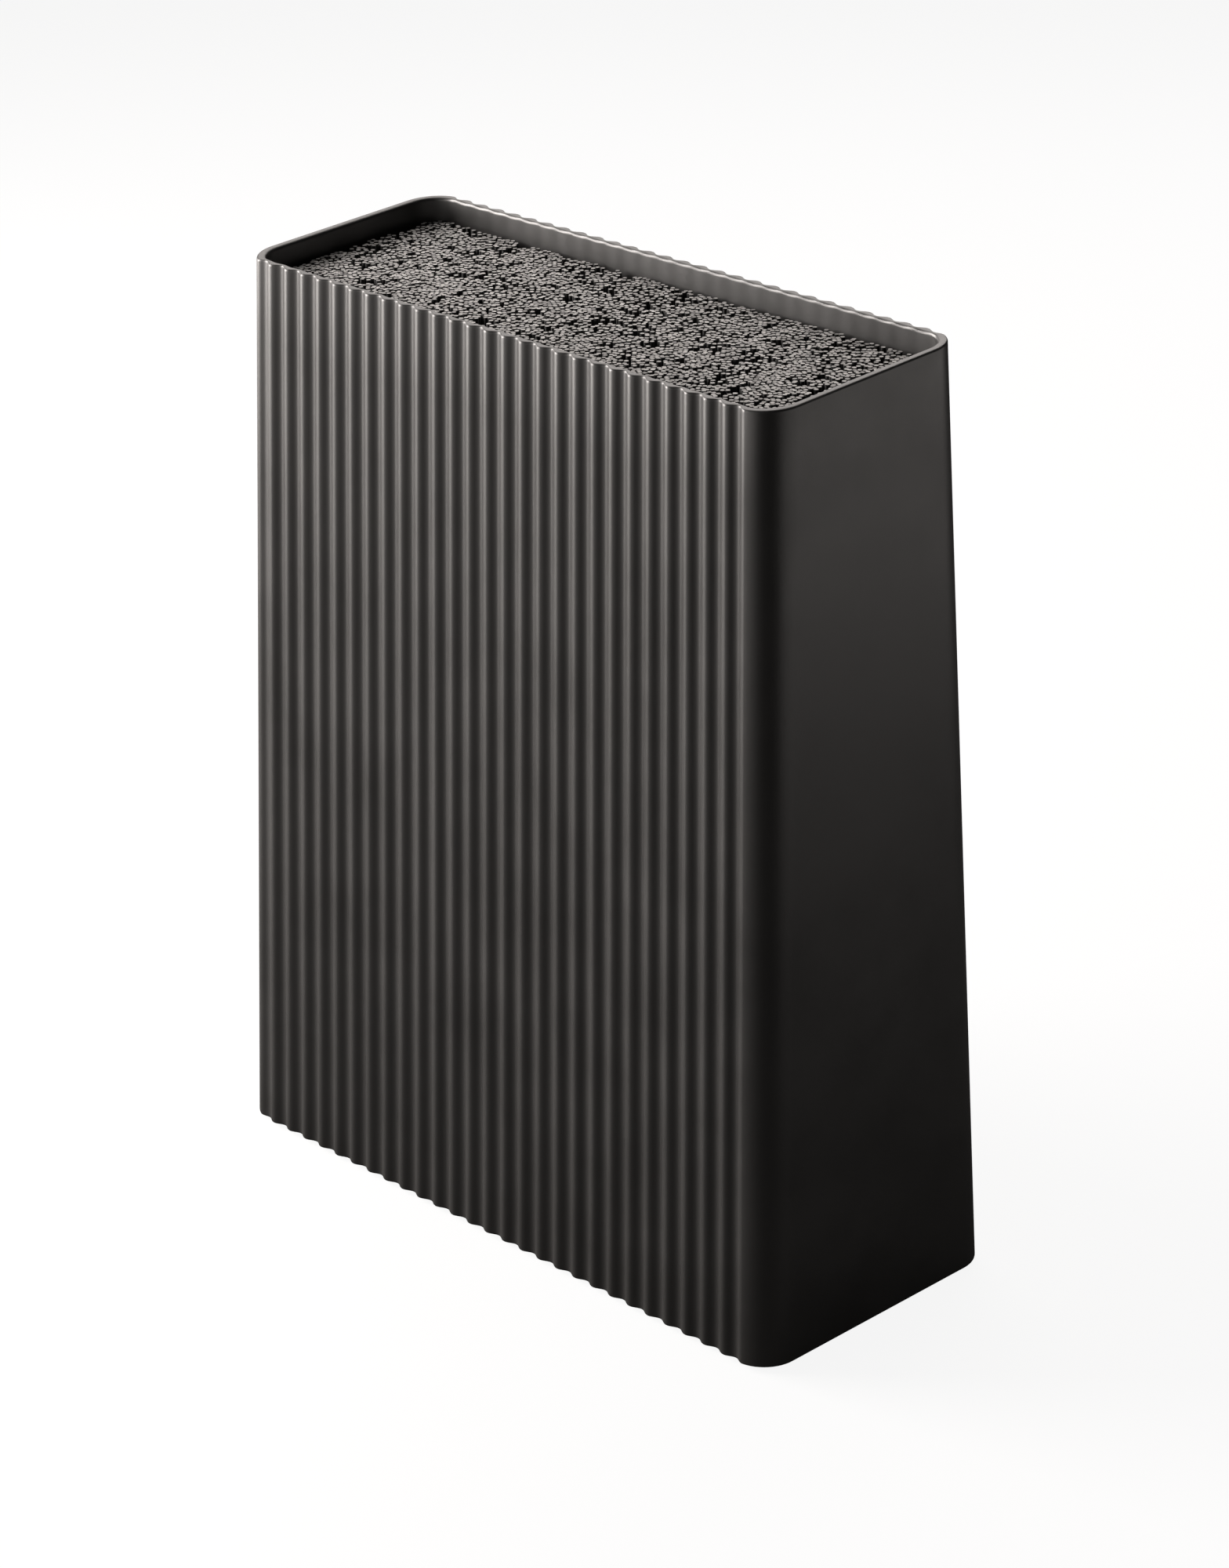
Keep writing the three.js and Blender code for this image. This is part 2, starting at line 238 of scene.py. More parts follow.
class Value:
    """A number that varies over a surface. Sums on it add Math nodes."""

    def __init__(self, finish, socket):
        self.finish, self.socket = finish, socket

    def _maths(self, operation, *others):
        named = {f"i{place}": value for place, value in enumerate(others)}
        return self.finish.add("ShaderNodeMath", {"operation": operation}, **named)

    def __add__(self, other):
        return self._maths("ADD", self, other)

    def __sub__(self, other):
        return self._maths("SUBTRACT", self, other)

    def __rsub__(self, other):
        return self._maths("SUBTRACT", other, self)

    def __mul__(self, other):
        return self._maths("MULTIPLY", self, other)

    def __truediv__(self, other):
        return self._maths("DIVIDE", self, other)

    __radd__ = __add__
    __rmul__ = __mul__


class Finish:
    """A material under construction."""

    def __init__(self, name):
        self.material = bpy.data.materials.new(name)
        self.material.use_nodes = True
        self.tree = self.material.node_tree
        self.surface = self.tree.nodes["Principled BSDF"]
        self.output = self.tree.nodes["Material Output"]
        self.place = self.add("ShaderNodeTexCoord", output="Object")

    def add(self, kind, settings=None, output=0, **inputs):
        node = self.tree.nodes.new(kind)
        for name, value in (settings or {}).items():
            if name == "stops":
                while len(node.color_ramp.elements) < len(value):
                    node.color_ramp.elements.new(0.5)
                for element, (where, level) in zip(node.color_ramp.elements, value):
                    element.position = where
                    element.color = (level, level, level, 1)
            else:
                setattr(node, name, value)
        for name, value in inputs.items():
            key = int(name[1:]) if name[1:].isdigit() else name.replace("_", " ")
            self.set(node.inputs[key], value)
        return Value(self, node.outputs[output])

    def set(self, socket, value):
        if isinstance(value, Value):
            self.tree.links.new(value.socket, socket)
        else:
            socket.default_value = value

    def noise(self, scale, detail=3, roughness=0.5, stretch=(1, 1, 1)):
        """Noise with features about 1/scale metres across, and stretched along an axis where asked."""
        place = self.add("ShaderNodeMapping", i0=self.place, i3=stretch)
        return self.add("ShaderNodeTexNoise", Vector=place, Scale=scale, Detail=detail, Roughness=roughness)

    def ramp(self, factor, *stops):
        return self.add("ShaderNodeValToRGB", {"stops": stops}, Fac=factor)

    def mix(self, factor, low, high):
        """A colour between two colours."""
        return self.add("ShaderNodeMix", {"data_type": "RGBA"}, output=2, i0=factor, i6=low, i7=high)

    def bump(self, height, distance, strength=1.0, under=None):
        inputs = {"Height": height, "Distance": distance, "Strength": strength}
        if under:
            inputs["Normal"] = under
        return self.add("ShaderNodeBump", **inputs)

    def done(self, colour, roughness, normal, **steady):
        self.set(self.surface.inputs["Base Color"], colour)
        self.set(self.surface.inputs["Roughness"], roughness)
        self.set(self.surface.inputs["Normal"], normal)
        for name, value in steady.items():
            self.surface.inputs[name.replace("_", " ")].default_value = value
        return self.material


def shade(colour, factor):
    return (colour[0] * factor, colour[1] * factor, colour[2] * factor, 1)


def moulded_plastic(name, colour, grain=0.02 * MM, dull=0.34, shine=1.0):
    """Matte moulded plastic: a fine spark-eroded grain, faint upright flow marks, and a soft unevenness in
    how dull it is where hands have been."""
    finish = Finish(name)
    flow = finish.noise(24, detail=2, stretch=(1, 1, 0.12))
    fine = finish.noise(5200, detail=2)
    speckle = finish.noise(1700, detail=4, roughness=0.7)
    handled = finish.noise(38, detail=4, roughness=0.6)
    patch = finish.ramp(flow, (0.3, 0), (0.7, 1))
    plain = finish.mix(patch, shade(colour, 0.94), shade(colour, 1.06))
    light_fleck = finish.ramp(speckle, (0.66, 0), (0.8, 1)) * 0.35
    tint = finish.mix(light_fleck, plain, shade(colour, 1.5))
    roughness = finish.ramp(handled, (0.35, 0), (0.7, 1)) * -0.07 + dull + (speckle - 0.5) * 0.08
    relief = finish.bump(fine, grain, 0.55, under=finish.bump(speckle, grain * 1.6, 0.35))
    return finish.done(tint, roughness, relief, Specular_IOR_Level=shine)


def fluted(piece, material):
    """Presses the flutes into both long faces, deepest at the outer skin and gone at the inner one."""
    tree = Tree("flutes", {"Flute pitch": ("Float", flute_pitch), "Flute depth": ("Float", flute_depth)})
    turns = tree.maths("DIVIDE", tree.attribute("along"), tree.input("Flute pitch"))
    from_crest = tree.maths("ADD", turns, flute_count / 2)
    wave = tree.maths("COSINE", tree.maths("MULTIPLY", from_crest, 2 * math.pi))
    inset = tree.maths("MULTIPLY", tree.maths("SUBTRACT", 1, wave), tree.input("Flute depth"))
    near_skin = tree.maths("MULTIPLY", tree.attribute("skin"), tree.attribute("face"))
    push = tree.maths("MULTIPLY", tree.maths("MULTIPLY", inset, near_skin), -0.5)
    offset = tree.add("ShaderNodeCombineXYZ", Y=push)
    pressed = tree.add("GeometryNodeSetPosition", Geometry=tree.input("Geometry"), Offset=offset)
    return tree.finish(pressed, material, piece)


charcoal = moulded_plastic("charcoal_plastic", (0.0185, 0.018, 0.0175), dull=0.44)
casing = fluted(plain_casing(), charcoal)
smooth(casing.data, 50)
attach(casing, "casing")
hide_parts("outer_shell")


# ---- Guide ribs and screw bosses -------------------------------------------------------------------
# Moulded in one with the casing, and out of sight until the insert is lifted out: upright ribs fill the
# taper between the insert and the wall, and a boss in each corner takes a base screw.

plate_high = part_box("base_plate")[1]
tray_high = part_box("bristle_tray")[1]
frame_height = 3 * MM
plate_top = plate_high.z - frame_height
clearance = 0.4 * MM
rib_width, rib_spacing, rib_lift, rib_top_depth = 1.6 * MM, 46 * MM, 6 * MM, 0.8 * MM
mouth_length = tray_high.x + clearance
mouth_depth = tray_high.y + clearance


def prism(corners, thickness, placing):
    """A flat outline in X and Z, thickened along Y and put in place by a matrix."""
    shape = bmesh.new()
    near = [shape.verts.new((x, -thickness / 2, z)) for x, z in corners]
    face = shape.faces.new(near)
    grown = bmesh.ops.extrude_face_region(shape, geom=[face])
    moved = [v for v in grown["geom"] if isinstance(v, bmesh.types.BMVert)]
    bmesh.ops.translate(shape, verts=moved, vec=(0, thickness, 0))
    bmesh.ops.recalc_face_normals(shape, faces=shape.faces)
    bmesh.ops.bevel(shape, geom=shape.edges[:], offset=0.25 * MM, segments=2, affect="EDGES", profile=0.5)
    shape.transform(placing)
    return shape


def gather(name, shapes, angle=40):
    """Several shapes as one plain mesh."""
    whole = bmesh.new()
    for shape in shapes:
        part = bpy.data.meshes.new("part")
        shape.to_mesh(part)
        shape.free()
        whole.from_mesh(part)
        bpy.data.meshes.remove(part)
    mesh = bpy.data.meshes.new(name)
    whole.to_mesh(mesh)
    whole.free()
    smooth(mesh, angle)
    return link(name, mesh)


def guide_ribs():
    """Three ribs on each long wall and one on each end, upright where they face the insert."""
    bottom, root = plate_top + rib_lift, wall / 3
    shapes = []
    for mouth, foot, first, count in (
            (mouth_depth, base_depth / 2 - wall, math.pi / 2, 3), (mouth_length, base_length / 2 - wall, 0, 1)):
        top = rim_height - rib_top_depth * casing_height / (foot - mouth)
        side = [(mouth, bottom), (mouth + (foot - mouth) * (rim_height - bottom) / casing_height + root, bottom),
                (mouth + rib_top_depth + root, top), (mouth, top)]
        for index in range(count):
            for half in (0, math.pi):
                across = (index - (count - 1) / 2) * rib_spacing
                placing = Matrix.Rotation(first + half, 4, "Z") @ Matrix.Translation((0, across, 0))
                shapes.append(prism(side, rib_width, placing))
    return shapes


def turned(profile, steps, placing):
    """A profile of (radius, height) spun round an upright axis and put in place by a matrix."""
    shape = bmesh.new()
    points = [shape.verts.new((radius, 0, height)) for radius, height in profile]
    edges = [shape.edges.new(pair) for pair in zip(points, points[1:])]
    bmesh.ops.spin(shape, geom=points + edges, cent=(0, 0, 0), axis=(0, 0, 1), angle=2 * math.pi, steps=steps)
    bmesh.ops.remove_doubles(shape, verts=shape.verts, dist=1e-7)
    bmesh.ops.recalc_face_normals(shape, faces=shape.faces)
    shape.transform(placing)
    return shape


screws = [f"base_screw_{index}" for index in range(1, 5)]
screw_places = [(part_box(name)[0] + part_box(name)[1]) / 2 for name in screws]


def screw_bosses():
    """Round bosses, bored for the screws and closed at the top."""
    low, high, outer, bore = plate_top + 0.3 * MM, plate_top + 16.3 * MM, 3.6 * MM, 1.8 * MM
    profile = [(bore, low), (outer - 0.3 * MM, low), (outer, low + 0.3 * MM), (outer - 0.1 * MM, high - 0.4 * MM),
               (outer - 0.5 * MM, high), (0, high), (0, high - 1.2 * MM), (bore, high - 1.2 * MM), (bore, low)]
    return [turned(profile, 32, Matrix.Translation((place.x, place.y, 0))) for place in screw_places]


inner_features = gather("guide_ribs_and_bosses", guide_ribs() + screw_bosses())
inner_features.data.materials.append(charcoal)
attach(inner_features, "casing")


# ---- Base plate and tray ---------------------------------------------------------------------------
# Two plain black mouldings with drain holes. The plate closes the casing from below, and its low frame
# keeps the tray central. The tray carries the rods. Both have softened edges.

def softened(node, name, radius, material):
    """A copy of a CAD solid with whole flat faces and rounded edges."""
    shape = bmesh.new()
    shape.from_mesh(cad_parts[node].data)
    bmesh.ops.remove_doubles(shape, verts=shape.verts, dist=1e-6)
    bmesh.ops.dissolve_limit(shape, angle_limit=math.radians(0.5), verts=shape.verts, edges=shape.edges)
    mesh = bpy.data.meshes.new(name)
    shape.to_mesh(mesh)
    shape.free()
    piece = link(name, mesh)
    bevel = piece.modifiers.new("soft edges", "BEVEL")
    bevel.width = radius
    bevel.segments = 2
    bevel.limit_method = "ANGLE"
    bevel.angle_limit = math.radians(40)
    made = bpy.data.meshes.new_from_object(piece.evaluated_get(bpy.context.evaluated_depsgraph_get()))
    piece.modifiers.clear()
    piece.data = made
    smooth(made, 30)
    made.materials.clear()
    made.materials.append(material)
    return piece


black = moulded_plastic("black_plastic", (0.014, 0.014, 0.0145), grain=0.03 * MM, dull=0.5, shine=0.4)
plate = softened("base_plate", "base_cover", 0.25 * MM, black)
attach(plate, "casing")
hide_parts("base_plate")

tray = softened("bristle_tray", "rod_tray", 0.25 * MM, black)
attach(tray, "insert")
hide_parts("bristle_tray")


# ---- Base screws -----------------------------------------------------------------------------------
# Zinc-plated pan-head screws with a cross drive, driven up through the base plate into the bosses. The
# thread is a ridge that winds round the shank.

def zinc_plate():
    """Bright zinc, finely brushed and a little cloudy."""
    finish = Finish("zinc_plated_steel")
    brushed = finish.noise(2600, detail=3, stretch=(1, 1, 0.2))
    cloudy = finish.noise(420, detail=4)
    tint = finish.mix(finish.ramp(cloudy, (0.35, 0), (0.65, 1)), (0.50, 0.51, 0.53, 1), (0.63, 0.64, 0.63, 1))
    return finish.done(tint, brushed * 0.15 + 0.25, finish.bump(brushed, 0.01 * MM, 0.4), Metallic=1.0)


def threaded_shank(low, high, place, core=1.2 * MM, ridge=0.3 * MM, pitch=1.3 * MM):
    """The shank as a grid round its axis, pushed out where the thread passes, and drawn in to a point."""
    around, upward = 24, int((high - low) / pitch * 8)
    shape = bmesh.new()
    rings = []
    for step in range(upward + 1):
        up = low + (high - low) * step / upward
        point = min(1, (high - up) / (3 * MM))
        ring = []
        for spoke in range(around):
            turn = 2 * math.pi * spoke / around
            winding = ((up - low) / pitch - spoke / around) % 1
            out = (core + ridge * max(0, 1 - abs(winding - 0.5) * 4)) * max(point, 0.08)
            ring.append(shape.verts.new((place.x + out * math.cos(turn), place.y + out * math.sin(turn), up)))
        rings.append(ring)
    for below, above in zip(rings, rings[1:]):
        for spoke in range(around):
            ahead = (spoke + 1) % around
            shape.faces.new((below[spoke], below[ahead], above[ahead], above[spoke]))
    shape.faces.new(rings[0][::-1])
    shape.faces.new(rings[-1])
    return shape


def screw_head(low, place):
    """A pan head with a cross cut into it from below."""
    radius, height = 2.9 * MM, 1.8 * MM
    profile = [(0, low), (radius * 0.62, low + 0.03 * MM), (radius * 0.86, low + 0.22 * MM),
               (radius, low + 0.75 * MM), (radius, low + height - 0.1 * MM), (radius - 0.1 * MM, low + height),
               (0, low + height)]
    head = gather("head", [turned(profile, 40, Matrix.Translation((place.x, place.y, 0)))])
    for width, length in ((0.8 * MM, 3.4 * MM), (3.4 * MM, 0.8 * MM)):
        bar = bmesh.new()
        bmesh.ops.create_cube(bar, size=1)
        bar.transform(Matrix.Translation((place.x, place.y, low)) @ Matrix.Diagonal((width, length, 2.2 * MM, 1)))
        cutter = gather("cutter", [bar])
        cut = head.modifiers.new("cross", "BOOLEAN")
        cut.operation = "DIFFERENCE"
        cut.object = cutter
        made = bpy.data.meshes.new_from_object(head.evaluated_get(bpy.context.evaluated_depsgraph_get()))
        head.modifiers.clear()
        head.data = made
        bpy.data.objects.remove(cutter)
    shape = bmesh.new()
    shape.from_mesh(head.data)
    bpy.data.objects.remove(head)
    return shape


zinc = zinc_plate()
for name, place in zip(screws, screw_places):
    low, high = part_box(name)
    number = name.rsplit("_", 1)[1]
    shank = threaded_shank(low.z + 1.8 * MM, high.z, place)
    screw = gather(f"plated_screw_{number}", [screw_head(low.z, place), shank])
    screw.data.materials.clear()
    screw.data.materials.append(zinc)
    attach(screw, "casing")
    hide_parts(name)


# ---- Rubber feet -----------------------------------------------------------------------------------
# Four round feet of black rubber glued into the base plate, each with two shallow rings in its tread.

def foot_rubber():
    """Matte black rubber with fine pores and some dust."""
    finish = Finish("foot_rubber")
    pores = finish.noise(3800, detail=4, roughness=0.65)
    dust = finish.noise(260, detail=5, roughness=0.6)
    settled = finish.ramp(dust, (0.45, 0), (0.75, 1)) * 0.6
    tint = finish.mix(settled, (0.012, 0.012, 0.012, 1), (0.035, 0.034, 0.032, 1))
    return finish.done(tint, pores * 0.12 + 0.78, finish.bump(pores, 0.03 * MM, 0.6), Specular_IOR_Level=0.3)


rubber = foot_rubber()
for number in range(1, 5):
    low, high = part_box(f"rubber_foot_{number}")
    centre = (low + high) / 2
    radius, thick, groove = (high.x - low.x) / 2, high.z - low.z, 0.35 * MM
    tread = [(0, 0), (1.6, 0), (1.8, groove), (2.4, groove), (2.6, 0), (3.7, 0), (3.9, groove), (4.5, groove),
             (4.7, 0)]
    profile = [(across * MM, up) for across, up in tread]
    profile += quarter_round((radius - 0.4 * MM, 0.4 * MM), 0.4 * MM, 1.5 * math.pi)
    profile += quarter_round((radius - 0.3 * MM, thick - 0.3 * MM), 0.3 * MM, 0, steps=3)
    profile += [(0, thick)]
    foot = gather(f"foot_{number}", [turned(profile, 48, Matrix.Translation((centre.x, centre.y, low.z)))])
    foot.data.materials.append(rubber)
    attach(foot, "casing")
    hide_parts(f"rubber_foot_{number}")


# ---- Rods ------------------------------------------------------------------------------------------
# Thousands of thin black plastic rods stand upright in the tray, packed at random and cut off level
# with the sloping rim. The cut ends are pale and matte, and the rods' sides are made near-black as painted shade,
# so the gaps between the rods read dark.

rows = [f"bristle_row_{index}" for index in range(1, 7)]
row_boxes = [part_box(name) for name in rows]
rods_bottom = min(low.z for low, _ in row_boxes)
bundle_x = max(high.x for _, high in row_boxes)
bundle_y = max(high.y for _, high in row_boxes)
rod_radius = 0.55 * MM
rod_count = 5050
edge_gap = 0.3 * MM
cut_height = rim_height - 5.3 * MM
bundle_corner = 5.5 * MM
rod_spacing = 2.07 * rod_radius
mat_low, mat_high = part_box("rod_root_mat")


def rod_plastic():
    """Black in the body of the rod, with the sides darkened further as painted shade for the gaps, and pale where
    it was cut, each rod a little different.
    """
    finish = Finish("rod_plastic")
    tone = finish.add("ShaderNodeAttribute", {"attribute_name": "rod_tone"}, output="Fac")
    cut = finish.add("ShaderNodeAttribute", {"attribute_name": "cut_end"}, output="Fac")
    scuffed = finish.noise(2400, detail=3, roughness=0.6)
    drawn = finish.noise(900, detail=2, stretch=(1, 1, 0.05))
    end = finish.mix(tone * 0.8 + scuffed * 0.2, (0.27, 0.265, 0.26, 1), (0.62, 0.61, 0.60, 1))
    # The sides' near-black colour is partly the rods' own black and partly painted shade, standing in for the
    # shade down in the gaps between the rods.
    side = finish.mix(drawn, (0.004, 0.004, 0.004, 1), (0.010, 0.0098, 0.0095, 1))
    tint = finish.mix(cut, side, end)
    roughness = cut * 0.2 + drawn * 0.1 + 0.42
    return finish.done(tint, roughness, finish.bump(scuffed, 0.04 * MM, 0.5), Specular_IOR_Level=0.2)


def keep_inside(x, y, reach_x, reach_y, corner):
    """Moves a point that has strayed over the rounded outline back on to it."""
    x = max(-reach_x, min(reach_x, x))
    y = max(-reach_y, min(reach_y, y))
    over_x, over_y = abs(x) - (reach_x - corner), abs(y) - (reach_y - corner)
    out = math.hypot(over_x, over_y)
    if over_x > 0 and over_y > 0 and out > corner:
        x = math.copysign(reach_x - corner + over_x * corner / out, x)
        y = math.copysign(reach_y - corner + over_y * corner / out, y)
    return x, y


def packed_places(count, spacing, rounds=28, seed=11):
    """Places for rods that have been shaken down together: thrown at random, then pushed off each other until
    hardly any two are closer than the spacing."""
    random = np.random.default_rng(seed)
    reach_x, reach_y = bundle_x - rod_radius - edge_gap, bundle_y - rod_radius - edge_gap
    places = random.uniform((-reach_x, -reach_y), (reach_x, reach_y), (count, 2))
    for _ in range(rounds):
        tree = KDTree(count)
        for index, (x, y) in enumerate(places):
            tree.insert((x, y, 0), index)
        tree.balance()
        moved = places.copy()
        for index, (x, y) in enumerate(places):
            for (other_x, other_y, _), other, apart in tree.find_range((x, y, 0), spacing):
                if other != index and apart > 0:
                    push = (spacing - apart) / apart / 2
                    moved[index] += ((x - other_x) * push, (y - other_y) * push)
        places = np.array([keep_inside(x, y, reach_x, reach_y, bundle_corner) for x, y in moved])
    return places


def cut_ends():
    """A point for the cut end of each rod, on the plane that slopes with the rim."""
    points = [(x, y, cut_height + rim_rise * y) for x, y in packed_places(rod_count, rod_spacing)]
    mesh = bpy.data.meshes.new("bristle_rods")
    mesh.from_pydata(points, [], [])
    return link("bristle_rods", mesh)


def standing_rods(piece, material):
    """A rod at each of the points, reaching down to its place in the root mat."""
    tree = Tree("rods", {
        "Rod radius": ("Float", rod_radius), "Seed": ("Int", 7), "Root height": ("Float", rods_bottom - 0.2 * MM),
        "Root spread": ("Float", mat_high.x / bundle_x * 0.985), "Unevenness": ("Float", 0.16 * MM),
        "Root wander": ("Float", 0.8 * MM), "Thinnest": ("Float", 0.92)})
    seed = tree.input("Seed")

    def random(kind, place, least, most, offset):
        return tree.add("FunctionNodeRandomValue", {"data_type": kind}, output=place,
                        Seed=tree.maths("ADD", seed, offset), **least, **most)

    tone = random("FLOAT", 1, {"i2": 0.0}, {"i3": 1.0}, 1)
    toned = tree.add("GeometryNodeStoreNamedAttribute", {"data_type": "FLOAT", "domain": "POINT"},
                     Geometry=tree.input("Geometry"), Name="rod_tone", Value=tone)
    low = tree.maths("MULTIPLY", tree.input("Unevenness"), -1)
    lift = random("FLOAT", 1, {"i2": low}, {"i3": tree.input("Unevenness")}, 2)
    uneven = tree.add("GeometryNodeSetPosition", Geometry=toned, Offset=tree.add("ShaderNodeCombineXYZ", Z=lift))
    tip = tree.add("GeometryNodeInputPosition")
    parts = tree.add("ShaderNodeSeparateXYZ", Vector=tip).node
    wander = random("FLOAT_VECTOR", 0, {"i0": (-1, -1, 0)}, {"i1": (1, 1, 0)}, 3)
    shift = tree.add("ShaderNodeVectorMath", {"operation": "SCALE"}, i0=wander, Scale=tree.input("Root wander"))
    root_x = tree.maths("MULTIPLY", parts.outputs["X"], tree.input("Root spread"))
    root_y = tree.maths("MULTIPLY", parts.outputs["Y"], tree.input("Root spread"))
    root = tree.add("ShaderNodeCombineXYZ", X=root_x, Y=root_y, Z=tree.input("Root height"))
    root = tree.add("ShaderNodeVectorMath", {"operation": "ADD"}, i0=root, i1=shift)
    reach = tree.add("ShaderNodeVectorMath", {"operation": "SUBTRACT"}, i0=tip, i1=root)
    length = tree.add("ShaderNodeVectorMath", {"operation": "LENGTH"}, output="Value", i0=reach)
    turn = tree.add("FunctionNodeAlignRotationToVector", {"axis": "Z"}, Vector=reach)
    thickness = random("FLOAT", 1, {"i2": tree.input("Thinnest")}, {"i3": 1.0}, 4)
    size = tree.add("ShaderNodeCombineXYZ", X=thickness, Y=thickness, Z=length)
    rod = tree.add("GeometryNodeMeshCylinder", {"fill_type": "NGON"}, Vertices=8, Side_Segments=1,
                   Radius=tree.input("Rod radius"), Depth=1.0)
    cylinder = rod.node
    ends = tree.add("GeometryNodeStoreNamedAttribute", {"data_type": "FLOAT", "domain": "FACE"},
                    Geometry=rod, Name="cut_end", Value=cylinder.outputs["Top"])
    rounded = tree.add("GeometryNodeSetShadeSmooth", Geometry=ends, Selection=cylinder.outputs["Side"])
    lowered = tree.add("GeometryNodeTransform", Geometry=rounded, Translation=(0, 0, -0.5))
    standing = tree.add("GeometryNodeInstanceOnPoints", Points=uneven, Instance=lowered, Rotation=turn, Scale=size)
    return tree.finish(standing, material, piece)


rod_finish = rod_plastic()
rods = standing_rods(cut_ends(), rod_finish)
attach(rods, "insert")
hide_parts(*rows)


# ---- Root mat --------------------------------------------------------------------------------------
# The rods' lower ends are melted together into one slab.

def melted_slab(name, material, radius=4.7 * MM, steps=8):
    """A slab with rounded upright corners and softened edges."""
    mesh = bpy.data.meshes.new(name)
    shape = bmesh.new()
    rings = []
    for level, inward in ((mat_low.z, 0.4 * MM), (mat_low.z + 0.4 * MM, 0), (mat_high.z - 0.5 * MM, 0),
                          (mat_high.z, 0.5 * MM)):
        ring = []
        for quarter, (side_x, side_y) in enumerate(((1, 1), (-1, 1), (-1, -1), (1, -1))):
            for step in range(steps + 1):
                turn = math.pi / 2 * (quarter + step / steps)
                x = side_x * (mat_high.x - radius) + (radius - inward) * math.cos(turn)
                y = side_y * (mat_high.y - radius) + (radius - inward) * math.sin(turn)
                ring.append(shape.verts.new((x, y, level)))
        rings.append(ring)
    for below, above in zip(rings, rings[1:]):
        for spoke in range(len(below)):
            ahead = (spoke + 1) % len(below)
            shape.faces.new((below[spoke], below[ahead], above[ahead], above[spoke]))
    shape.faces.new(rings[0][::-1])
    shape.faces.new(rings[-1])
    shape.to_mesh(mesh)
    shape.free()
    smooth(mesh, 40)
    mesh.materials.append(material)
    return link(name, mesh)


mat = melted_slab("root_mat", black)
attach(mat, "insert")
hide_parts("rod_root_mat")


# ---- Table -----------------------------------------------------------------------------------------
# A plain white surface that runs out of view on every side and takes the block's soft shadow.

def white_table():
    """White to look at, with the block's shadow on it, but dim to the light that would bounce off it."""
    finish = Finish("white_table")
    path = finish.add("ShaderNodeLightPath")
    seen = Value(finish, path.socket.node.outputs["Is Camera Ray"])
    through = Value(finish, path.socket.node.outputs["Is Transmission Ray"])
    mottle = finish.noise(3, detail=2)
    pale = finish.mix(mottle, (0.93, 0.93, 0.93, 1), (0.95, 0.95, 0.95, 1))
    lit = finish.add("ShaderNodeBsdfDiffuse", Color=finish.mix(seen, (0.05, 0.05, 0.05, 1), pale))
    glow = finish.add("ShaderNodeEmission", Color=(1, 1, 1, 1), Strength=1.0)
    mixed = finish.add("ShaderNodeMixShader", i0=seen * 0.9 + through, i1=lit, i2=glow)
    finish.set(finish.output.inputs["Surface"], mixed)
    return finish.material


table_mesh = bpy.data.meshes.new("table")
reach = 6.0
table_mesh.from_pydata([(-reach, -reach, 0), (reach, -reach, 0), (reach, reach, 0), (-reach, reach, 0)], [],
                       [(0, 1, 2, 3)])
table = link("table", table_mesh)
table.data.materials.append(white_table())


# ---- Light -----------------------------------------------------------------------------------------
# Panels at the left draw the flutes, a broad dim one above and behind lights the rods, the rim and the inside
# of the walls, and weak ones fill in from the front and the right. The room round them is nearly dark.

def soft_panel(name, place, aim, size, power):
    """A flat, slightly warm panel that faces the point it is aimed at."""
    lamp = bpy.data.lights.new(name, "AREA")
    lamp.shape = "RECTANGLE"
    lamp.size, lamp.size_y = size
    lamp.energy = power
    lamp.color = (1, 0.94, 0.90)
    panel = bpy.data.objects.new(name, lamp)
    bpy.context.scene.collection.objects.link(panel)
    panel.location = place
    panel.rotation_euler = (Vector(aim) - Vector(place)).to_track_quat("-Z", "Y").to_euler()


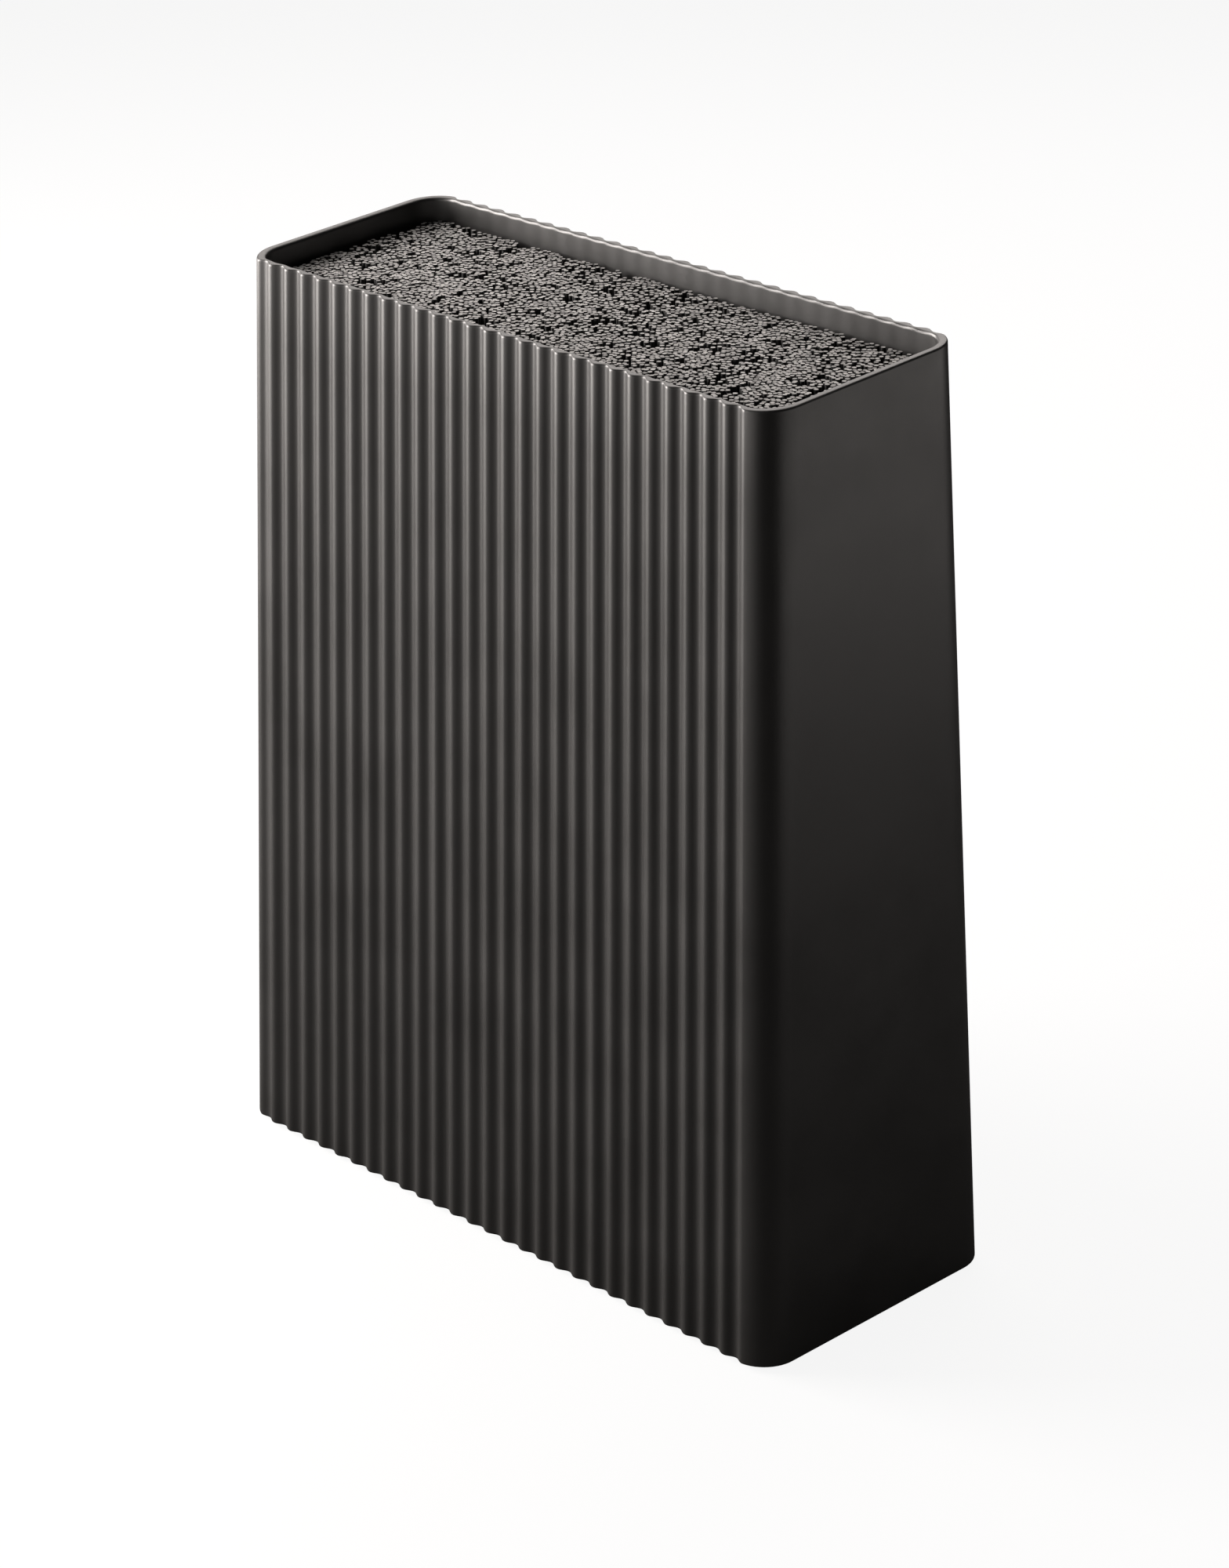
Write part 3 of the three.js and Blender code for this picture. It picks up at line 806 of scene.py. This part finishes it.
soft_panel("left_panel", (-0.66, -0.38, 0.42), (0, 0, 0.10), (0.50, 0.50), 13.0)
soft_panel("low_left_panel", (-0.64, -0.32, 0.16), (0, 0, 0.12), (1.00, 0.31), 3.6)
soft_panel("front_left_panel", (-0.20, -0.66, 0.26), (0, 0, 0.22), (0.90, 0.40), 1.5)
soft_panel("back_left_panel", (-0.50, 0.50, 0.80), (0, 0, 0.20), (1.00, 1.00), 7.0)
soft_panel("right_fill_panel", (0.50, 0.29, 0.10), (0, 0, 0.10), (0.90, 0.18), 0.5)

room = bpy.data.worlds.new("room")
bpy.context.scene.world = room
room.use_nodes = True
sky = room.node_tree
backdrop = sky.nodes["Background"]
path = sky.nodes.new("ShaderNodeLightPath")
level = sky.nodes.new("ShaderNodeMapRange")
level.inputs["To Min"].default_value = 0.02
level.inputs["To Max"].default_value = 1.0
sky.links.new(path.outputs["Is Camera Ray"], level.inputs["Value"])
sky.links.new(level.outputs["Result"], backdrop.inputs["Strength"])
backdrop.inputs["Color"].default_value = (1, 1, 1, 1)


# ---- Camera ----------------------------------------------------------------------------------------
# Looks down at the front right corner from above, with hardly any roll.

view_yaw, view_pitch, view_roll = math.radians(46.29), math.radians(23.66), math.radians(-0.949)
focal_per_height = 2.68925
view_place = (640.9 * MM, -607.3 * MM, 490.6 * MM)
forward = Vector((-math.sin(view_yaw) * math.cos(view_pitch), math.cos(view_yaw) * math.cos(view_pitch),
                  -math.sin(view_pitch)))
level_right = Vector((math.cos(view_yaw), math.sin(view_yaw), 0))
level_up = level_right.cross(forward)
right = level_right * math.cos(view_roll) + level_up * math.sin(view_roll)
up = level_up * math.cos(view_roll) - level_right * math.sin(view_roll)
lens = bpy.data.cameras.new("camera")
lens.sensor_fit = "VERTICAL"
lens.sensor_height = 36
lens.lens = focal_per_height * lens.sensor_height
lens.clip_start, lens.clip_end = 0.05, 50
camera = bpy.data.objects.new("camera", lens)
bpy.context.scene.collection.objects.link(camera)
turn = Matrix((right, up, -forward)).transposed()
camera.matrix_world = Matrix.Translation(view_place) @ turn.to_4x4()
bpy.context.scene.camera = camera
bpy.context.scene.view_settings.view_transform = "Standard"
